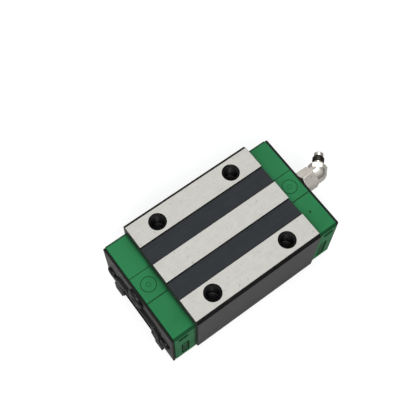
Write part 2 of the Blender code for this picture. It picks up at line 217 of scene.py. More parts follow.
def plastic(name, dark, light, lo, hi, pore=2600.0, bump=0.012, flow=(30, 30, 90), specular=0.5, joint_shade=None):
    """Moulded plastic: soft flow shading, fine satin texture and small handling scuffs."""
    m = Nodes(name)
    fl = m.noise(flow, 3.0, 0.5, distortion=0.6)
    fine = m.noise(pore, 3.0, 0.6)
    col = m.ramp(m.math("ADD", m.math("MULTIPLY", fl, 0.7), m.math("MULTIPLY", fine, 0.3)), [(0.36, dark), (0.64, light)])
    scuff = m.noise((900, 90, 500), 2.0, 0.5, rot=(0.3, 0.2, 0.5))
    mask = m.ramp(scuff, [(0.70, 0.0), (0.78, 0.35)])
    col = m.mix(mask, col, tuple(min(1.0, c * 1.25 + 0.004) for c in light))
    if joint_shade:
        # painted shade: the green darkens towards its joint with the proud steel block, the band's edge made ragged by
        # noise
        x = m.math("ABSOLUTE", m.axis(0))
        shade_reach = m.math("ADD", x, m.math("MULTIPLY", m.noise((160, 160, 160), 3.0, 0.6), 0.0016))
        col = m.mix(m.span(shade_reach, (joint_shade[0] + 2.4) * MM, (joint_shade[0] + 0.6) * MM), col, joint_shade[1])
    m.base(col)
    m.rough(fine, lo, hi)
    m.bump(fine, 0.35, bump)
    m.bump(fl, 0.25, 0.03)
    m.set(Specular_IOR_Level=specular)
    return m.mat


PAD = metal("ground_pad", (0.445, 0.430, 0.400), (0.575, 0.560, 0.520), 0.44, 0.58, (90, 4200, 4200), 260.0, 0.45, 0.004,
            specks=(700.0, 0.66, (0.36, 0.34, 0.31)))
GROOVE = metal("milled_groove", (0.018, 0.021, 0.025), (0.030, 0.033, 0.037), 0.50, 0.64, (70, 1700, 1700), 200.0, 0.25, 0.010,
               specks=(1500.0, 0.72, (0.050, 0.052, 0.054)), specular=0.2)
# near-black steel on the block's chamfers, groove walls and end bevels
CHAMFER = metal("oiled_chamfer", (0.003, 0.003, 0.003), (0.010, 0.010, 0.010), 0.50, 0.68, (60, 1500, 1500), 240.0, 0.1, 0.008,
                specks=(1200.0, 0.72, (0.030, 0.029, 0.028)), specular=0.12)
# painted shade: the ground steel of the block's sides, ends and underside is a much darker copy of the pad steel; the
# blotchy mark low on the sides is staining
SHADED_SIDE = metal("ground_side_shade_and_stain", (0.050, 0.050, 0.050), (0.095, 0.095, 0.094), 0.42, 0.58, (70, 3600, 3600), 150.0, 0.45, 0.005,
             specks=(1000.0, 0.70, (0.05, 0.049, 0.048)), specular=0.25, stain=(-15.0, -31.0, (0.030, 0.026, 0.023)))
# near-black thread bores: painted shade inside the tapped holes
HOLE_SHADE = metal("cut_thread_painted_shade", (0.006, 0.006, 0.006), (0.020, 0.020, 0.020), 0.34, 0.5, (500, 500, 4000), 300.0, 0.7, 0.006, specular=0.2)
RACE = metal("ground_race", (0.42, 0.41, 0.40), (0.58, 0.57, 0.56), 0.2, 0.34, (60, 5200, 5200), 200.0, 1.0, 0.003)
# the green moulding carries a painted-shade band along its joint with the block at |x| 29.1 mm
GREEN = plastic("green_moulding", (0.005, 0.145, 0.041), (0.012, 0.185, 0.060), 0.46, 0.60, specular=0.25,
                joint_shade=(29.1, (0.003, 0.060, 0.018)))
# a darker copy of the green moulding: painted shade for the cap's top chamfers, seams, gate and ejector marks and side
# recesses
GREEN_SHADED = plastic("green_painted_shade", (0.002, 0.050, 0.014), (0.004, 0.072, 0.022), 0.48, 0.64, specular=0.2)
GUIDE = plastic("guide_moulding", (0.020, 0.020, 0.023), (0.038, 0.038, 0.042), 0.40, 0.58)
PLATE = plastic("seal_plate_coat", (0.040, 0.036, 0.036), (0.085, 0.078, 0.077), 0.42, 0.58, 1900.0, 0.02, specular=0.3)
# a near-black, faintly green copy of the plate coat: painted shade with a faint painted reflection of the green cap
PLATE_RIM_SHADE = plastic("seal_plate_rim_painted_shade", (0.003, 0.004, 0.003), (0.009, 0.011, 0.009), 0.46, 0.62, 1900.0, 0.02, specular=0.15)
RUBBER = plastic("seal_lip_rubber", (0.004, 0.004, 0.004), (0.011, 0.011, 0.011), 0.42, 0.62, 1500.0, 0.03, specular=0.4)
SCREW = metal("black_oxide", (0.010, 0.009, 0.010), (0.034, 0.032, 0.032), 0.28, 0.46, (900, 900, 900), 320.0, 0.8, 0.008,
              specks=(1700.0, 0.66, (0.20, 0.20, 0.20)))
SHEET = metal("rolled_sheet", (0.42, 0.42, 0.43), (0.60, 0.60, 0.61), 0.28, 0.42, (50, 2800, 2800), 120.0, 1.0, 0.004)
BALL = metal("lapped_ball", (0.66, 0.66, 0.67), (0.80, 0.80, 0.81), 0.06, 0.14, (700, 700, 700), 260.0, 1.0, 0.001)
NICKEL = metal("nickel_plate", (0.66, 0.60, 0.52), (0.90, 0.85, 0.77), 0.17, 0.30, (500, 1800, 1800), 260.0, 1.0, 0.004,
               specks=(1300.0, 0.68, (0.36, 0.31, 0.26)))
# a near-black copy of the nickel: painted shade on the nipple head's flange and groove
NICKEL_SHADE = metal("nickel_painted_shade", (0.020, 0.019, 0.016), (0.060, 0.056, 0.050), 0.24, 0.4, (500, 1800, 1800), 300.0, 0.9, 0.004)
WIRE = metal("drawn_wire", (0.34, 0.34, 0.35), (0.55, 0.55, 0.56), 0.25, 0.4, (900, 900, 900), 300.0, 1.0, 0.002)


# ================================================================ mesh tools
WORK = bpy.data.collections.new("work")
bpy.context.scene.collection.children.link(WORK)


def fillet(pts, r, n=4, closed=True):
    """Round the corners of a polyline. A point may carry its own radius as a third number."""
    out, m = [], len(pts)
    for i, p in enumerate(pts):
        rad = p[2] if len(p) > 2 else r
        b = Vector(p[:2])
        if (not closed and i in (0, m - 1)) or rad <= 0:
            out.append(tuple(b))
            continue
        a, c = Vector(pts[i - 1][:2]), Vector(pts[(i + 1) % m][:2])
        u, w = (a - b), (c - b)
        lu, lw = u.length, w.length
        u.normalize(), w.normalize()
        cosang = max(-1.0, min(1.0, u.dot(w)))
        ang = math.acos(cosang)
        if ang > math.radians(176):
            out.append(tuple(b))
            continue
        t = min(rad / math.tan(ang / 2), 0.42 * lu, 0.42 * lw)
        rr = t * math.tan(ang / 2)
        centre = b + (u + w).normalized() * (rr / math.sin(ang / 2))
        s, e = b + u * t - centre, b + w * t - centre
        a0 = math.atan2(s.y, s.x)
        da = math.atan2(e.y, e.x) - a0
        da = (da + math.pi) % (2 * math.pi) - math.pi
        for k in range(n + 1):
            q = a0 + da * k / n
            out.append((centre.x + rr * math.cos(q), centre.y + rr * math.sin(q)))
    return out


def mirrored(pts):
    return pts + [(-p[0], *p[1:]) for p in reversed(pts)]


def arc(cy, cz, r, a0, a1, n):
    return [(cy + r * math.cos(math.radians(a0 + (a1 - a0) * i / n)),
             cz + r * math.sin(math.radians(a0 + (a1 - a0) * i / n)), 0.0) for i in range(n + 1)]


def stadium(cu, cv, du, dv, n=8):
    """Rounded slot outline centred on (cu, cv), du by dv overall."""
    r = min(du, dv) / 2
    return fillet([(cu - du / 2, cv - dv / 2), (cu + du / 2, cv - dv / 2), (cu + du / 2, cv + dv / 2), (cu - du / 2, cv + dv / 2)],
                  r * 0.98, n)


def slab(name, pts, origin, u, v, w0, w1, bevel=0.0, bevel0=None, seg=2):
    """Outline pts in the plane (u, v), extruded from w0 to w1 along u x v. mm in, metres out.
    bevel rounds the rim at w1, bevel0 the rim at w0."""
    u, v = Vector(u), Vector(v)
    w = u.cross(v)
    o = Vector(origin)
    bm = bmesh.new()
    lo = [bm.verts.new((o + u * p[0] + v * p[1] + w * w0) * MM) for p in pts]
    hi = [bm.verts.new((o + u * p[0] + v * p[1] + w * w1) * MM) for p in pts]
    n = len(pts)
    bm.faces.new(list(reversed(lo)))
    bm.faces.new(hi)
    for i in range(n):
        j = (i + 1) % n
        bm.faces.new((lo[i], lo[j], hi[j], hi[i]))
    bmesh.ops.recalc_face_normals(bm, faces=bm.faces)
    bevel0 = bevel if bevel0 is None else bevel0
    for ring, width in ((hi, bevel), (lo, bevel0)):
        if width > 0:
            s = set(ring)
            edges = [e for e in bm.edges if e.verts[0] in s and e.verts[1] in s]
            bmesh.ops.bevel(bm, geom=edges, offset=width * MM, offset_type="OFFSET", segments=seg, profile=0.5,
                            affect="EDGES", clamp_overlap=True)
    return make(name, bm)


def make(name, bm):
    me = bpy.data.meshes.new(name)
    bm.to_mesh(me)
    bm.free()
    ob = bpy.data.objects.new(name, me)
    WORK.objects.link(ob)
    return ob


def xprism(name, pts, x0, x1, bevel=0.0, bevel0=None, seg=2):
    """Outline of (y, z) points extruded along X; bevel rounds the rim at x1."""
    s = 1 if x1 > x0 else -1
    if s > 0:
        return slab(name, pts, (0, 0, 0), (0, 1, 0), (0, 0, 1), x0, x1, bevel, bevel0, seg)
    return slab(name, [(-p[0], p[1]) for p in pts], (0, 0, 0), (0, -1, 0), (0, 0, 1), -x0, -x1, bevel, bevel0, seg)


def lathe(name, prof, steps, origin, zdir, closed=False, ref=None):
    """Turned solid. prof is (radius, height) from the axis round to the axis, or a closed ring."""
    z = Vector(zdir).normalized()
    x = Vector(ref) if ref is not None else (Vector((0, 0, 1)) if abs(z.z) < 0.9 else Vector((1, 0, 0)))
    x = (x - x.dot(z) * z).normalized()
    y = z.cross(x)
    o = Vector(origin)
    bm = bmesh.new()
    rings = []
    for r, h in [p[:2] for p in prof]:
        if r < 1e-6:
            rings.append([bm.verts.new((o + z * h) * MM)])
        else:
            rings.append([bm.verts.new((o + z * h + x * (r * math.cos(2 * math.pi * k / steps))
                                        + y * (r * math.sin(2 * math.pi * k / steps))) * MM) for k in range(steps)])
    n = len(rings)
    for i in range(n if closed else n - 1):
        a, b = rings[i], rings[(i + 1) % n]
        for k in range(steps):
            l = (k + 1) % steps
            if len(a) == 1 and len(b) == 1:
                continue
            if len(a) == 1:
                bm.faces.new((a[0], b[l], b[k]))
            elif len(b) == 1:
                bm.faces.new((a[k], a[l], b[0]))
            else:
                bm.faces.new((a[k], a[l], b[l], b[k]))
    bmesh.ops.recalc_face_normals(bm, faces=bm.faces)
    return make(name, bm)


def spheres(name, r, centres, seg=28, rings=14, axis=None):
    bm = bmesh.new()
    for c in centres:
        bmesh.ops.create_uvsphere(bm, u_segments=seg, v_segments=rings, radius=r * MM,
                                  matrix=Matrix.Translation(Vector(c) * MM))
    return make(name, bm)


def applied(ob):
    bpy.context.view_layer.update()
    dg = bpy.context.evaluated_depsgraph_get()
    me = bpy.data.meshes.new_from_object(ob.evaluated_get(dg))
    ob.modifiers.clear()
    ob.data = me
    return ob


def boolean(ob, others, op="DIFFERENCE"):
    for o in others:
        m = ob.modifiers.new("b", "BOOLEAN")
        m.operation = op
        m.solver = "EXACT"
        m.object = o
    applied(ob)
    for o in others:
        if o.name.startswith("k_"):
            bpy.data.objects.remove(o)
    bm = bmesh.new()
    bm.from_mesh(ob.data)
    bmesh.ops.remove_doubles(bm, verts=bm.verts, dist=2e-7)
    bmesh.ops.dissolve_degenerate(bm, edges=bm.edges, dist=2e-7)
    bm.to_mesh(ob.data)
    bm.free()
    return ob


def soften(ob, width, seg=2, angle=32):
    m = ob.modifiers.new("bevel", "BEVEL")
    m.width = width * MM
    m.segments = seg
    m.limit_method = "ANGLE"
    m.angle_limit = math.radians(angle)
    m.use_clamp_overlap = True
    return applied(ob)


def shade(ob, angle=32, weighted=True):
    ob.data.shade_smooth()
    ob.data.set_sharp_from_angle(angle=math.radians(angle))
    if weighted:
        w = ob.modifiers.new("normals", "WEIGHTED_NORMAL")
        w.keep_sharp = True
        w.weight = 80
    return ob


def finish(ob, body, nodes, mats, pick=None, angle=32, weighted=True):
    """Materials by face, shading, and where the piece belongs."""
    ob.data.materials.clear()
    for m in mats:
        ob.data.materials.append(m)
    for p in ob.data.polygons:
        p.material_index = pick(p) if pick else 0
    shade(ob, angle, weighted)
    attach(ob, body)
    if nodes:
        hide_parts(*nodes)
    return ob


# ================================================================ steel block
def block_section():
    zu, zl = ROW_Z
    ceiling, wall, arm, r = -16.8, 13.2, 12.3, 2.55
    a_top = math.degrees(math.asin((ceiling - zu) / r))
    a_wall = math.degrees(math.acos((wall - ROW_Y) / r))
    a_arm = math.degrees(math.acos((arm - ROW_Y) / r))
    outer = [(4.4, 0.0, 0.10), (4.55, -0.8, 0.14), (12.45, -0.8, 0.14), (12.6, 0.0, 0.10), (22.7, 0.0, 0.10),
             (24.0, -1.2, 0.15), (24.0, -31.0, 0.4), (22.0, -33.2, 0.3), (arm, -33.2, 0.2)]
    inner = arc(ROW_Y, zl, r, -a_arm, a_wall, 14) + arc(ROW_Y, zu, r, -a_wall, 180.0 - a_top, 16)
    return fillet(mirrored(outer + inner), 0.0, 3)


def thread_cutter(name, x, y):
    """Tapped M6 hole: countersink, then a 1 mm pitch helical thread, then the drill point."""
    cols, pitch, per = 40, 1.0, 8
    rings = []
    for r, z in ((4.6, 1.0), (3.55, -0.05), (3.05, -0.52)):
        rings.append([(r, z)] * cols)
    k, z = 0, -0.62
    while z > -8.0:
        row = []
        for j in range(cols):
            f = (z / pitch + j / cols) % 1.0
            tri = abs(2 * f - 1)
            row.append((2.52 + 0.50 * min(1.0, max(0.0, (tri - 0.10) / 0.78)), z))
        rings.append(row)
        z -= pitch / per
    rings.append([(2.5, -8.05)] * cols)
    bm = bmesh.new()
    vs = [[bm.verts.new(Vector((x + r * math.cos(2 * math.pi * j / cols), y + r * math.sin(2 * math.pi * j / cols), h)) * MM)
           for j, (r, h) in enumerate(ring)] for ring in rings]
    top = bm.verts.new(Vector((x, y, 1.0)) * MM)
    tip = bm.verts.new(Vector((x, y, -9.6)) * MM)
    for j in range(cols):
        l = (j + 1) % cols
        bm.faces.new((vs[0][j], vs[0][l], top))
        bm.faces.new((vs[-1][l], vs[-1][j], tip))
        for a, b in zip(vs, vs[1:]):
            bm.faces.new((a[l], a[j], b[j], b[l]))
    bmesh.ops.recalc_face_normals(bm, faces=bm.faces)
    return make(name, bm)


def row_return(row):
    a = math.radians(RETURN_DIR[row])
    return ROW_Y + 2 * TURN_R * math.cos(a), ROW_Z[row] + 2 * TURN_R * math.sin(a)


lo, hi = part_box("steel_block")
block = xprism("block_body", block_section(), lo.x / MM, hi.x / MM, 0.38, 0.38, 1)
cutters = []
for sy, side in SIDES:
    for row in (0, 1):
        ry, rz = row_return(row)
        cutters.append(lathe(f"k_return_{row}_{side}", [(0, 30), (2.7, 30), (2.7, -30), (0, -30)], 32, (0, sy * ry, rz), (1, 0, 0)))
    for sx, end in ENDS:
        cutters.append(lathe(f"k_endhole_{side}_{end}", [(0, 30), (1.9, 30), (1.9, 28.9), (1.6, 28.6), (1.6, 21.8), (0, 21.0)], 24,
                             (0, sy * SCREW_YZ[0], SCREW_YZ[1]), (sx, 0, 0)))
        cutters.append(thread_cutter(f"k_m6_{side}_{end}", sx * 17.5, sy * 17.5))
boolean(block, cutters)


def block_face(p):
    c, n = p.center / MM, p.normal
    for sx in (1, -1):
        for sy in (1, -1):
            d = math.hypot(c.x - sx * 17.5, c.y - sy * 17.5)
            if d < 3.7 and -10.2 < c.z < -0.001 and n.z < 0.98:
                return 4
    if n.z > 0.98 and c.z > -0.01:
        return 0
    if c.z > -0.95 and abs(c.y) < 12.7:
        return 1 if n.z > 0.9 else 2
    if abs(n.x) > 0.2:
        return 2 if abs(c.x) < 28.99 else 3
    if n.z > 0.25 and c.z > -1.6:
        return 2
    if abs(c.y) > 21.5 and c.z < -31.0:
        return 3
    if abs(c.y) < 13.4 and c.z < -16.5:
        return 5
    return 3


finish(block, "carriage", ["steel_block"], [PAD, GROOVE, CHAMFER, SHADED_SIDE, HOLE_SHADE, RACE], block_face, 28)


# ================================================================ retainers and bottom seals
def strip(name, pts, node, mat, x, bevel=0.12, fil=0.12):
    ob = xprism(name, fillet(pts, fil, 3), -x, x, bevel, bevel, 2)
    return finish(ob, "carriage", [node], [mat])


strip("top_retainer_sheet", [(-9.65, -17.55), (9.65, -17.55), (9.65, -16.95), (-9.65, -16.95)], "top_ball_retainer",
      SHEET, 28.95, 0.1, 0.18)
for sy, side in SIDES:
    def run(pts):
        return pts if sy > 0 else [(-p[0], *p[1:]) for p in reversed(pts)]

    strip(f"side_retainer_strip_{side}", run([(11.75, -21.75), (11.75, -23.45), (13.1, -23.8), (13.1, -21.4)]),
          f"side_ball_retainer_{side}", GUIDE, 28.95, 0.1, 0.15)
    strip(f"lower_retainer_strip_{side}", run([(9.75, -27.65), (10.0, -28.75), (12.2, -29.3), (12.2, -28.62), (11.0, -28.62), (10.3, -28.3)]),
          f"lower_ball_retainer_{side}", SHEET, 28.95, 0.08, 0.12)
    strip(f"bottom_seal_strip_{side}",
          run([(11.65, -34.3, 0.05), (12.1, -34.6, 0.15), (12.9, -34.2, 0.3), (15.4, -34.2, 0.1), (15.6, -34.05, 0.1), (19.4, -34.05, 0.1),
               (19.6, -34.2, 0.1), (21.6, -34.2, 0.2), (21.6, -33.3, 0.1), (12.6, -33.3, 0.2)]),
          f"bottom_seal_{side}", RUBBER, 28.9, 0.15)


# ================================================================ end caps, guides, seals
def rail_gap(grow, bottom):
    return [(11.95 + grow, bottom, 0.2), (11.95 + grow, -30.9 - 0.4 * grow, 0.6), (9.75 + grow, -28.4 - 0.6 * grow, 0.6),
            (9.75 + grow, -26.2 - 0.5 * grow, 0.4), (10.6 + grow, -24.9 - 0.3 * grow, 0.4), (11.95 + grow, -23.9, 0.25),
            (11.95 + grow, -21.3, 0.25), (10.6 + grow, -20.3 + 0.3 * grow, 0.4), (9.75 + grow, -19.0 + 0.5 * grow, 0.4),
            (9.75 + grow, -17.7 + grow, 0.3)]


def turn_frame(row, sy, sx):
    a = math.radians(RETURN_DIR[row])
    d = Vector((0, sy * math.cos(a), math.sin(a)))
    ry, rz = row_return(row)
    mid = Vector((sx * TURN_X, sy * (ROW_Y + ry) / 2, (ROW_Z[row] + rz) / 2))
    return mid, d


def torus(name, row, sy, sx, minor=2.6, n=36, m=20):
    """The curved ball track of one end turn."""
    mid, d = turn_frame(row, sy, sx)
    x = Vector((1, 0, 0))
    ax = x.cross(d)
    bm = bmesh.new()
    rings = []
    for i in range(n):
        t = 2 * math.pi * i / n
        out = d * math.cos(t) + x * math.sin(t)
        rings.append([bm.verts.new((mid + out * (TURN_R + minor * math.cos(2 * math.pi * j / m))
                                    + ax * minor * math.sin(2 * math.pi * j / m)) * MM) for j in range(m)])
    for i in range(n):
        a, b = rings[i], rings[(i + 1) % n]
        for j in range(m):
            k = (j + 1) % m
            bm.faces.new((a[j], a[k], b[k], b[j]))
    bmesh.ops.recalc_face_normals(bm, faces=bm.faces)
    return make(name, bm)


for sx, end in ENDS:
    def X(a):
        return sx * a

    # ---- end cap
    cap = xprism(f"cap_{end}", fillet(mirrored([(CAP_W - 1.0, CAP_TOP, 0.35), (CAP_W, CAP_TOP - 1.1, 0.35), (CAP_W, -32.4, 0.4),
                                                (CAP_W - 1.2, CAP_BOTTOM, 0.4)] + rail_gap(0.0, CAP_BOTTOM)), 0.3, 4),
                 X(CAP_IN), X(CAP_OUT), 0.22, 0.12, 2)
    ks = []
    xa, xb = sorted((X(28.5), X(30.4)))
    ks.append(slab(f"k_pocket_{end}", fillet([(-21.6, -31.4), (21.6, -31.4), (21.6, -12.6), (19.6, -10.7), (-19.6, -10.7), (-21.6, -12.6)], 0.4, 3),
                   (0, 0, 0), (0, 1, 0), (0, 0, 1), xa, xb))
    xa, xb = sorted((X(28.4), X(30.2)))
    ks.append(slab(f"k_oil_{end}", fillet([(-12, -11.2), (12, -11.2), (12, -9.1), (-12, -9.1)], 0.9, 4), (0, 0, 0), (0, 1, 0), (0, 0, 1), xa, xb))
    ks.append(lathe(f"k_port_{end}", [(0, 40), (2.7, 40), (2.7, 33.0), (1.2, 32.2), (1.2, 28), (0, 28)], 28, (0, 0, PORT_Z), (sx, 0, 0)))
    # seam lines and the round gate mark on the top, a small ejector mark on the front cap only
    for y, w in ((6.2, 0.30), (-5.55, 0.50)):
        ks.append(slab(f"k_seam_{end}_{y}", [(-6.0, -w / 2), (6.0, -w / 2), (6.0, w / 2), (-6.0, w / 2)], (X(33.9), y, CAP_TOP),
                       (1, 0, 0), (0, 1, 0), -0.22, 1.0))
    ks.append(lathe(f"k_gate_{end}", [(2.80, 0.5), (3.26, 0.5), (3.14, -0.20), (2.92, -0.20)], 56, (X(33.9), 0.5, CAP_TOP), (0, 0, 1), True))
    ks.append(lathe(f"k_gatedot_{end}", [(0.75, 0.5), (1.0, 0.5), (0.95, -0.10), (0.80, -0.10)], 32, (X(33.9), 0.5, CAP_TOP), (0, 0, 1), True))
    if sx > 0:
        ks.append(lathe("k_mark", [(0, 0.5), (0.55, 0.5), (0.48, -0.18), (0, -0.18)], 20, (33.5, -12.6, CAP_TOP), (0, 0, 1)))
    for sy, side in SIDES:
        for row in (0, 1):
            ks.append(torus(f"k_turn_{end}_{side}_{row}", row, sy, sx))
        ks.append(lathe(f"k_capscrew_{end}_{side}", [(0, 41), (1.75, 41), (1.75, 28), (0, 28)], 24, (0, sy * SCREW_YZ[0], SCREW_YZ[1]), (sx, 0, 0)))
        # side slot, and the long recess below it with a round boss left standing
        ks.append(slab(f"k_slot_{end}_{side}", stadium(X(34.8), -8.5, 4.6, 3.3, 8), (0, sy * CAP_W, 0), (1, 0, 0), (0, 0, 1), -1.4, 1.4))
        u = (1, 0, 0) if sy < 0 else (-1, 0, 0)
        cu = X(34.1) if sy < 0 else -X(34.1)
        ks.append(slab(f"k_recess_{end}_{side}", stadium(cu, -23.25, 3.6, 13.7, 6), (0, sy * CAP_W, 0), u, (0, 0, 1), -0.8, 1.0))
    boolean(cap, ks)
    # a raised panel with a round button stands in each side recess
    pads = []
    for sy, side in SIDES:
        u = (1, 0, 0) if sy < 0 else (-1, 0, 0)
        cu = X(34.1) if sy < 0 else -X(34.1)
        pads.append(slab(f"k_panel_{end}_{side}", stadium(cu, -23.25, 2.3, 12.2, 6), (0, sy * CAP_W, 0), u, (0, 0, 1), -1.5, -0.25, 0.12, 0.0))
        pads.append(lathe(f"k_button_{end}_{side}", fillet([(0, -0.05), (0.72, -0.05), (0.85, -0.2), (0.85, -0.8), (0, -0.8)], 0.05, 3, False), 32,
                          (X(34.1), sy * CAP_W, -19.4), (0, sy, 0)))
    boolean(cap, pads, "UNION")

    # slot 1 is the darker green, painted shade on the top chamfers, the seams, gate and ejector marks on the top, and
    # the faces inside the side recesses
    def cap_face(p):
        c, n = p.center / MM, p.normal
        if abs(n.y) > 0.3 and n.z > 0.3 and c.z > -6.2:
            return 1
        if c.z > CAP_TOP - 0.4 and (n.z < 0.9 or c.z < CAP_TOP - 0.08) and abs(c.y) < 21 and 29.5 < abs(c.x) < 38.4:
            return 1
        if abs(c.y) < CAP_W - 0.1 and abs(c.y) > 21.7 and 32.0 < abs(c.x) < 37.2 and c.z < -7.0 and c.z > -30.4:
            return 1
        return 0

    finish(cap, "carriage", [f"end_cap_{end}"], [GREEN, GREEN_SHADED], cap_face, 30)

    # ---- return guide
    guide = xprism(f"guide_{end}", fillet(mirrored([(19.5, -10.8, 0.4), (21.5, -12.8, 0.4), (21.5, -31.3, 0.3)] + rail_gap(0.0, -31.3)), 0.3, 3),
                   X(CAP_IN), X(30.3), 0.08, 0.08, 1)
    ks = []
    for sy, side in SIDES:
        for row in (0, 1):
            ks.append(torus(f"k_turn_{end}_{side}_{row}", row, sy, sx))
        ks.append(lathe(f"k_gscrew_{end}_{side}", [(0, 41), (1.75, 41), (1.75, 28), (0, 28)], 24, (0, sy * SCREW_YZ[0], SCREW_YZ[1]), (sx, 0, 0)))
    boolean(guide, ks)
    finish(guide, "carriage", [f"return_guide_{end}"], [GUIDE])

    # ---- seal plate
    plate = xprism(f"seal_plate_{end}", fillet(mirrored([(22.0, -4.95, 0.25), (22.5, -5.4, 0.25), (22.5, SEAL_BOTTOM, 0.25)]
                                                        + rail_gap(0.5, SEAL_BOTTOM)), 0.3, 4), X(38.8), X(39.8), 0.22, 0.08, 3)
    ks = [lathe(f"k_pport_{end}", [(0, 41), (3.3, 41), (3.1, 39.6), (3.1, 38), (0, 38)], 32, (0, 0, PORT_Z), (sx, 0, 0))]
    for sy, side in SIDES:
        ks.append(lathe(f"k_pscrew_{end}_{side}", [(0, 41), (1.75, 41), (1.75, 38), (0, 38)], 24, (0, sy * SCREW_YZ[0], SCREW_YZ[1]), (sx, 0, 0)))
    boolean(plate, ks)
    # faces not facing along X take the rim colour, painted shade and painted green reflection on the plate's edges
    finish(plate, "carriage", [f"end_seal_plate_{end}"], [PLATE, PLATE_RIM_SHADE],
           lambda p: 0 if abs(p.normal.x) > 0.9 else 1)

    # ---- rubber lip
    lip_in = [(11.6, SEAL_BOTTOM, 0.15), (11.6, -31.0, 0.6), (9.3, -28.2, 0.6), (9.3, -26.1, 0.7), (10.05, -24.45, 0.5), (11.6, -23.7, 0.3),
              (11.6, -21.5, 0.3), (10.05, -20.75, 0.5), (9.35, -19.0, 0.6), (9.55, -17.9, 0.3)]
    lip_out = [(11.5, -14.7, 1.2), (14.6, -18.0, 1.2), (14.6, -25.0, 1.0), (16.3, -27.6, 1.0), (16.3, SEAL_BOTTOM, 0.3)]
    lip = xprism(f"seal_lip_{end}", fillet(mirrored(lip_out + lip_in), 0.3, 5), X(39.9), X(41.1), 0.42, 0.08, 4)
    finish(lip, "carriage", [f"end_seal_lip_{end}"], [RUBBER], None, 40)

    # ---- cross-recess screws
    for sy, side in SIDES:
        y, z = sy * SCREW_YZ[0], SCREW_YZ[1]
        head = fillet([(0, 41.2), (1.6, 41.15), (2.5, 40.85, 0.5), (2.7, 40.35, 0.3), (2.7, 39.9, 0.1), (1.42, 39.9, 0.05),
                       (1.42, 38.4), (1.42, 22.9, 0.05), (0.9, 22.3), (0, 22.3)], 0.05, 4, False)
        scr = lathe(f"screw_{end}_{side}", head, 40, (0, y, z), (sx, 0, 0))
        turn = math.radians({("front", "left"): 18, ("front", "right"): 63, ("rear", "left"): 35, ("rear", "right"): 8}[(end, side)])
        ks = []
        for k in (0, 1):
            a = turn + k * math.pi / 2
            u = Vector((0, math.cos(a), math.sin(a)))
            v = Vector((sx, 0, 0))
            ks.append(slab(f"k_cross_{end}_{side}_{k}", [(-0.5, 39.95), (0.5, 39.95), (1.75, 42.0), (-1.75, 42.0)], (0, y, z), u, v, -0.27, 0.27))
        ks.append(lathe(f"k_crossmid_{end}_{side}", [(0, 42), (0.75, 42), (0.45, 40.1), (0, 39.8)], 16, (0, y, z), (sx, 0, 0)))
        boolean(scr, ks)
        finish(scr, "carriage", [f"end_screw_{end}_{side}"], [SCREW], None, 35)

# ================================================================ plug in the rear port
plug = lathe("plug", fillet([(0, 41.4), (3.2, 41.4, 0.3), (4.2, 40.85, 0.4), (4.2, 39.95, 0.12), (2.45, 39.95, 0.1), (2.45, 34.6, 0.1), (1.8, 34.0), (0, 34.0)],
                            0.1, 4, False), 56, (0, 0, PORT_Z), (-1, 0, 0))
hexo = [(1.76 * math.cos(math.radians(60 * k + 12)), 1.76 * math.sin(math.radians(60 * k + 12))) for k in range(6)]
boolean(plug, [slab("k_hex", hexo, (0, 0, PORT_Z), (0, -1, 0), (0, 0, 1), 40.0, 43.0),
               lathe("k_hexcs", [(0, 42), (2.6, 42), (1.75, 41.1), (1.2, 40.9), (0, 40.9)], 40, (0, 0, PORT_Z), (-1, 0, 0))])
finish(plug, "carriage", ["port_plug"], [SCREW], None, 35)

# ================================================================ grease nipple
BEND = math.radians(45)
NIP = Vector((math.cos(BEND), math.sin(BEND), 0))
SIDEWAYS = Vector((-math.sin(BEND), math.cos(BEND), 0))
ELBOW = Vector((48.3, 0, PORT_Z))
SEAT = 1.0
HEAD_TURN = -8.0
R6 = 4.2 / math.cos(math.radians(30))
hexo = [(R6 * math.cos(math.radians(60 * k + 90)), R6 * math.sin(math.radians(60 * k + 90))) for k in range(6)]
nb = slab("nipple_elbow", fillet(hexo, 0.25, 3), (0, 0, PORT_Z), (0, 1, 0), (0, 0, 1), 39.95, 45.8, 0.0, 0.0, 2)
boolean(nb, [lathe("k_turned_end", [(0, 39.95), (4.2, 39.95), (5.1, 40.75), (5.1, 44.9), (4.5, 45.65), (0, 45.65)], 48, (0, 0, PORT_Z), (1, 0, 0))],
        "INTERSECT")
boolean(nb, [lathe("k_barrel", [(0, 48.3), (3.98, 48.3), (3.98, 44.9), (0, 44.9)], 64, (0, 0, PORT_Z), (1, 0, 0))], "UNION")
boolean(nb, [spheres("k_bend", 4.0, [ELBOW], 64, 33)], "UNION")
boolean(nb, [lathe("k_arm", [(0, -0.3), (3.96, -0.3), (3.96, 4.0), (0, 4.0)], 64, ELBOW, NIP),
             lathe("k_shank", [(0, 41), (2.45, 41), (2.45, 34.5), (2.0, 34.0), (0, 34.0)], 28, (0, 0, PORT_Z), (1, 0, 0))], "UNION")
boolean(nb, [slab("k_seat", [(-9, -9), (9, -9), (9, 9), (-9, 9)], ELBOW, tuple(SIDEWAYS), (0, 0, 1), SEAT, SEAT + 9)])
soften(nb, 0.2, 3, 27)
boolean(nb, [lathe("k_bore", [(0, 48.7), (1.15, 48.7), (1.15, 33), (0, 33)], 20, (0, 0, PORT_Z), (1, 0, 0)),
             lathe("k_armbore", [(0, 2), (1.15, 2), (1.15, -0.3), (0, -0.3)], 20, ELBOW, NIP)])
finish(nb, "carriage", ["nipple_body"], [NICKEL], None, 30)

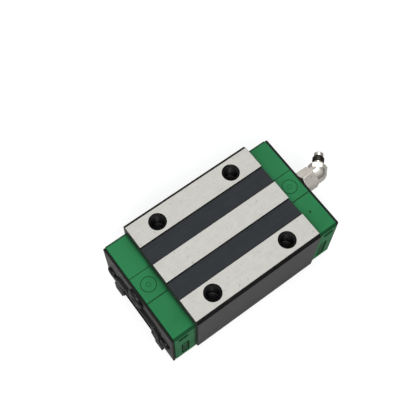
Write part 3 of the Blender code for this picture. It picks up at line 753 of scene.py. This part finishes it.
HEAD0 = ELBOW + NIP * (SEAT + 0.1)
HEAD_AF = 6.9
prof = [(0, 7.9), (1.7, 7.9, 0.2), (1.95, 7.65, 0.2), (1.95, 6.3, 0.2), (1.6, 6.05, 0.1), (1.6, 5.85, 0.1), (2.45, 5.65, 0.15),
        (2.45, 4.0, 0.3), (1.95, 3.6, 0.2), (1.95, 2.9, 0.3), (2.5, 2.2, 0.1), (2.9, 1.7, 0.0), (0, 1.7)]
head = lathe("nipple_tip", fillet(prof, 0.1, 4, False), 56, HEAD0, NIP)
R6 = HEAD_AF / 2 / math.cos(math.radians(30))
hexo = [(R6 * math.cos(math.radians(60 * k + HEAD_TURN)), R6 * math.sin(math.radians(60 * k + HEAD_TURN))) for k in range(6)]
foot = slab("k_foot", fillet(hexo, 0.1, 1), HEAD0, tuple(SIDEWAYS), (0, 0, 1), 0.0, 2.12, 0.0, 0.0)
top_cone = lathe("k_cone", [(0, 2.12), (3.4, 2.12), (4.6, 1.5), (4.6, 0.3), (4.0, 0.0), (0, 0)], 48, HEAD0, NIP)
boolean(foot, [top_cone], "INTERSECT")
boolean(head, [foot], "UNION")
boolean(head, [lathe("k_headbore", [(0, 8.4), (0.85, 8.4), (0.85, 7.5), (1.3, 6.9), (1.3, -0.5), (0, -0.5)], 28, HEAD0, NIP)])


# the band from the neck over the flange to the groove takes the dark nickel, painted shade
def head_face(p):
    d = p.center / MM - HEAD0
    h = d.dot(NIP)
    return 1 if 3.72 < h < 6.12 and (d - NIP * h).length > 1.4 else 0


finish(head, "carriage", ["nipple_head"], [NICKEL, NICKEL_SHADE], head_face, 30)
chk = spheres("check_ball", 1.0, [HEAD0 + NIP * 6.8], 32, 16)
finish(chk, "nipple_check", ["nipple_check_ball"], [BALL], None, 60, False)

# spring, a round wire coil with closed ends
bm = bmesh.new()
turns, per, rc, rw = 7.5, 20, 0.86, 0.13
n = int(turns * per)
prev = None
for i in range(n + 1):
    t = i / n
    a = 2 * math.pi * turns * t
    rise = 0.34 + (5.56 - 0.34) * (t * t * (3 - 2 * t) * 0.35 + t * 0.65)
    out = SIDEWAYS * math.cos(a) + Vector((0, 0, 1)) * math.sin(a)
    c = HEAD0 + NIP * rise + out * rc
    ring = [bm.verts.new((c + out * rw * math.cos(2 * math.pi * k / 8) + NIP * rw * math.sin(2 * math.pi * k / 8)) * MM) for k in range(8)]
    if prev:
        for k in range(8):
            l = (k + 1) % 8
            bm.faces.new((prev[k], prev[l], ring[l], ring[k]))
    else:
        bm.faces.new(ring)
    prev = ring
bm.faces.new(list(reversed(prev)))
bmesh.ops.recalc_face_normals(bm, faces=bm.faces)
spring = finish(make("check_spring", bm), "carriage", ["nipple_spring"], [WIRE], None, 60, False)
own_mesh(spring)

# ================================================================ balls
for sy, side in SIDES:
    for row, level in ((0, "upper"), (1, "lower")):
        ry, rz = row_return(row)
        for kind, y, z in (("load", ROW_Y, ROW_Z[row]), ("return", ry, rz)):
            centres = [((i - 5) * PITCH, sy * y, z) for i in range(11)]
            ob = spheres(f"balls_{kind}_{level}_{side}", BALL_R, centres)
            finish(ob, f"{kind}_row_{level}_{side}", [f"{kind}_balls_{level}_{side}"], [BALL], None, 60, False)
        for sx, end in ENDS:
            mid, d = turn_frame(row, sy, sx)
            centres = [mid + Vector((sx * TURN_R * math.sin(t), 0, 0)) - d * TURN_R * math.cos(t) for t in (math.pi / 4, 3 * math.pi / 4)]
            ob = spheres(f"balls_turn_{level}_{side}_{end}", BALL_R, centres)
            finish(ob, f"end_turn_{level}_{side}_{end}", [f"turn_balls_{level}_{side}_{end}"], [BALL], None, 60, False)

# ================================================================ stage, light, camera
lo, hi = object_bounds()
fm = Nodes("pale_floor")
fm.base(fm.ramp(fm.noise(14.0, 2.0, 0.5), [(0.3, (0.42, 0.42, 0.42)), (0.7, (0.46, 0.46, 0.455))]))
fm.set(Roughness=0.8, Specular_IOR_Level=0.2)
glow = fm.t.nodes.new("ShaderNodeEmission")
glow.inputs["Strength"].default_value = 0.66
both = fm.t.nodes.new("ShaderNodeAddShader")
pick = fm.t.nodes.new("ShaderNodeMixShader")
path = fm.t.nodes.new("ShaderNodeLightPath")
fm.t.links.new(fm.b.outputs[0], both.inputs[0])
fm.t.links.new(glow.outputs[0], both.inputs[1])
fm.t.links.new(path.outputs["Is Camera Ray"], pick.inputs[0])
fm.t.links.new(fm.b.outputs[0], pick.inputs[1])
fm.t.links.new(both.outputs[0], pick.inputs[2])
fm.t.links.new(pick.outputs[0], fm.t.nodes["Material Output"].inputs["Surface"])
bm = bmesh.new()
bmesh.ops.create_grid(bm, x_segments=1, y_segments=1, size=3.0)
me = bpy.data.meshes.new("floor")
bm.to_mesh(me)
bm.free()
floor = bpy.data.objects.new("floor", me)
floor.location = (0, 0, lo.z - 0.00005)
floor.data.materials.append(fm.mat)
bpy.context.scene.collection.objects.link(floor)

world = bpy.data.worlds.new("studio")
bpy.context.scene.world = world
world.use_nodes = True
wt = world.node_tree
sky = wt.nodes["Background"]
geo = wt.nodes.new("ShaderNodeTexCoord")
sep = wt.nodes.new("ShaderNodeSeparateXYZ")
grad = wt.nodes.new("ShaderNodeValToRGB")
e = grad.color_ramp.elements
e[0].position, e[0].color = 0.0, (0.16, 0.16, 0.165, 1.0)
e[1].position, e[1].color = 0.85, (0.86, 0.88, 0.90, 1.0)
mid = e.new(0.35)
mid.color = (0.30, 0.305, 0.31, 1.0)
wt.links.new(geo.outputs["Generated"], sep.inputs[0])
wt.links.new(sep.outputs["Z"], grad.inputs[0])
wt.links.new(grad.outputs[0], sky.inputs["Color"])
sky.inputs["Strength"].default_value = 0.80
plain = wt.nodes.new("ShaderNodeBackground")
plain.inputs["Strength"].default_value = 1.05
wpath = wt.nodes.new("ShaderNodeLightPath")
wmix = wt.nodes.new("ShaderNodeMixShader")
wt.links.new(wpath.outputs["Is Camera Ray"], wmix.inputs[0])
wt.links.new(sky.outputs[0], wmix.inputs[1])
wt.links.new(plain.outputs[0], wmix.inputs[2])
wt.links.new(wmix.outputs[0], wt.nodes["World Output"].inputs["Surface"])


def area(name, pos, target, size, power, color=(1, 1, 1)):
    li = bpy.data.lights.new(name, "AREA")
    li.shape = "RECTANGLE"
    li.size, li.size_y = size
    li.energy = power
    li.color = color
    ob = bpy.data.objects.new(name, li)
    ob.location = pos
    ob.rotation_euler = (Vector(target) - Vector(pos)).to_track_quat("-Z", "Y").to_euler()
    bpy.context.scene.collection.objects.link(ob)
    return ob


area("key", (-0.26, -0.34, 0.50), (0, 0, -0.01), (0.35, 0.35), 2.6, (1.0, 0.99, 0.97))
area("sheen", (0.16, 0.20, 0.55), (0, 0, -0.01), (0.40, 0.40), 0.8)

card = area("card", (0.25, 0.75, 0.16), (0.04, 0, -0.01), (0.9, 0.35), 0.5)
card.visible_camera = False

cam = bpy.data.cameras.new("camera")
cam.sensor_width = 36.0
cam.lens = 72.1926
cam.dof.use_dof = False
cam.clip_start, cam.clip_end = 0.01, 10.0
co = bpy.data.objects.new("camera", cam)
right = Vector((0.80404375, -0.5945588, 0.00367159))
up = Vector((0.54152672, 0.73484818, 0.40834662))
back = Vector((-0.24548414, -0.32634028, 0.91281957))
m = Matrix((right, up, back)).transposed().to_4x4()
m.translation = Vector((-0.07488709, -0.08549041, 0.28158126))
co.matrix_world = m
bpy.context.scene.collection.objects.link(co)
bpy.context.scene.camera = co
bpy.context.scene.view_settings.view_transform = "Standard"
bpy.context.scene.view_settings.look = "None"
